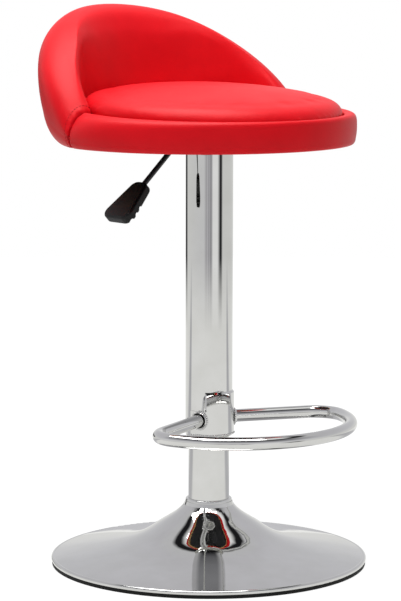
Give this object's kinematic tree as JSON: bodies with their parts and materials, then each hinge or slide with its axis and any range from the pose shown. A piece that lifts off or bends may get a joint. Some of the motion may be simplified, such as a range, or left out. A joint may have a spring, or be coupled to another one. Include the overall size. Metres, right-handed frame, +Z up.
{
  "type": "bar stool",
  "caption": "Swivelling gas-lift bar stool with a round padded seat, a low wrap-round back, a lift lever, a loop footrest on the sleeve and a flared disc foot.",
  "frame": {"origin": "on the floor, on the column's axis", "axes": "+Z up the column, -Y the stool's front, -X the side of the lift lever"},
  "size_m": [0.397, 0.4295, 0.6963],
  "materials": {
    "chrome_plate": "bright polished chrome plate",
    "plain_steel": "plain bright steel",
    "black_steel": "satin black paint",
    "cast_weight": "raw casting",
    "brass_cage": "stamped, plain",
    "white_nylon": "moulded nylon",
    "black_plastic": "moulded, soft sheen",
    "black_rubber": "matt",
    "plywood": "unfinished plywood",
    "black_lining": "thin non-woven lining",
    "red_leather": "smooth coated leatherette, semi-gloss"
  },
  "bodies": {
    "base": {"glide_ring": "black_rubber", "floor_plate": "black_steel", "base_weight": "cast_weight", "base_hub": "black_steel", "base_bolts": "plain_steel", "base_shell": "chrome_plate", "base_collar": "chrome_plate", "stand_pipe": "chrome_plate", "pipe_end_plate": "plain_steel", "lower_race": "plain_steel", "guide_bush": "white_nylon"},
    "column_rod": {"piston_rod": "plain_steel", "piston_head": "plain_steel", "rod_clip": "plain_steel", "rod_washer": "plain_steel", "upper_race": "plain_steel", "ball_cage": "brass_cage", "bearing_balls": "plain_steel", "bump_stop": "black_rubber"},
    "seat_column": {"gas_cylinder": "black_steel", "rod_guide": "white_nylon", "sleeve_tube": "chrome_plate", "sleeve_cap": "white_nylon", "sleeve_bush": "white_nylon", "footrest_bracket": "chrome_plate", "footrest_loop": "chrome_plate", "footrest_ferrules": "chrome_plate", "seat_plate": "black_steel", "taper_hub": "black_steel", "lever_ears": "black_steel", "lever_pin": "plain_steel", "plate_bolts": "plain_steel", "tee_nuts": "plain_steel", "seat_board": "plywood", "dust_cover": "black_lining", "back_frame": "plywood", "frame_screws": "plain_steel", "back_cushion": "red_leather", "front_band": "red_leather", "seat_pad": "red_leather"},
    "lever": {"lever_rod": "black_steel", "lever_handle": "black_plastic"},
    "valve": {"valve_button": "plain_steel"}
  },
  "joints": [
    {"name": "swivel", "type": "hinge", "parent": "base", "child": "column_rod", "pos_m": [0, 0, 0], "axis": [0, 0, 1], "continuous": true},
    {"name": "lift", "type": "slide", "parent": "column_rod", "child": "seat_column", "axis": [0, 0, 1], "range_m": [0, 0.21]},
    {"name": "lever_pull", "type": "hinge", "parent": "seat_column", "child": "lever", "pos_m": [-0.026, 0, 0.53925], "axis": [0, 1, 0], "range_deg": [0, 8], "stiffness_Nm_per_rad": 3, "springref_deg": -11.46},
    {"name": "button_press", "type": "slide", "parent": "seat_column", "child": "valve", "axis": [0, 0, -1], "range_m": [0, 0.004]}
  ],
  "couplings": [
    {"joint": "button_press", "follows": "lever_pull", "m_per_rad": 0.028}
  ]
}
